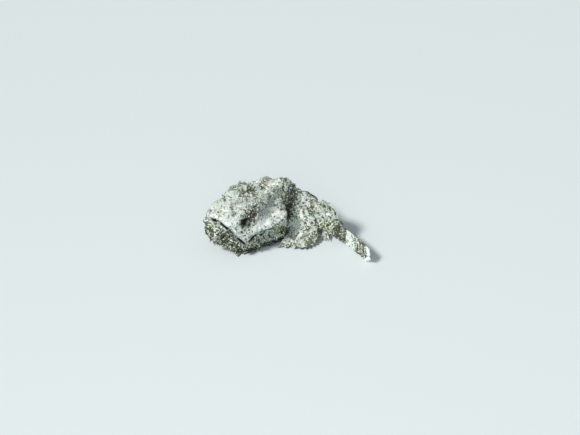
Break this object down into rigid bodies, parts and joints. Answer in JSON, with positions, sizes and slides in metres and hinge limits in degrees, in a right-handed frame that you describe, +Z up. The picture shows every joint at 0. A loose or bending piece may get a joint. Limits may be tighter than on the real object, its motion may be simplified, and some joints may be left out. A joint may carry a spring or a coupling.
{
  "type": "false stonefish",
  "caption": "Life-size still model of a humpbacked false stonefish resting on the sea floor, head raised, tail curled to its left, skin rough with flaps.",
  "frame": {"origin": "on the floor under the middle of the model's outline", "axes": "+Z up; the head points towards -X and the tail towards +X; the fish's left side faces -Y"},
  "size_m": [0.2206, 0.1432, 0.082],
  "materials": {
    "skin": "rough wet skin with warts and flaps, mottled grey-green, olive and cream, dusted with sand",
    "fins": "thick soft fin skin over raised rays, mottled like the body and banded",
    "eyes": "glossy wet eye, dark pupil in a mottled brown iris"
  },
  "bodies": {
    "root": {"head": "skin", "upper_jaw": "skin", "lower_jaw": "skin", "gill_cover_left": "skin", "gill_cover_right": "skin", "torso": "skin", "tail": "skin", "dorsal_fin_spiny": "fins", "dorsal_fin_soft": "fins", "caudal_fin": "fins", "anal_fin": "fins", "pectoral_fin_left": "fins", "pectoral_fin_right": "fins", "pelvic_fin_left": "fins", "pelvic_fin_right": "fins", "eye_left": "eyes", "eye_right": "eyes"}
  },
  "joints": []
}
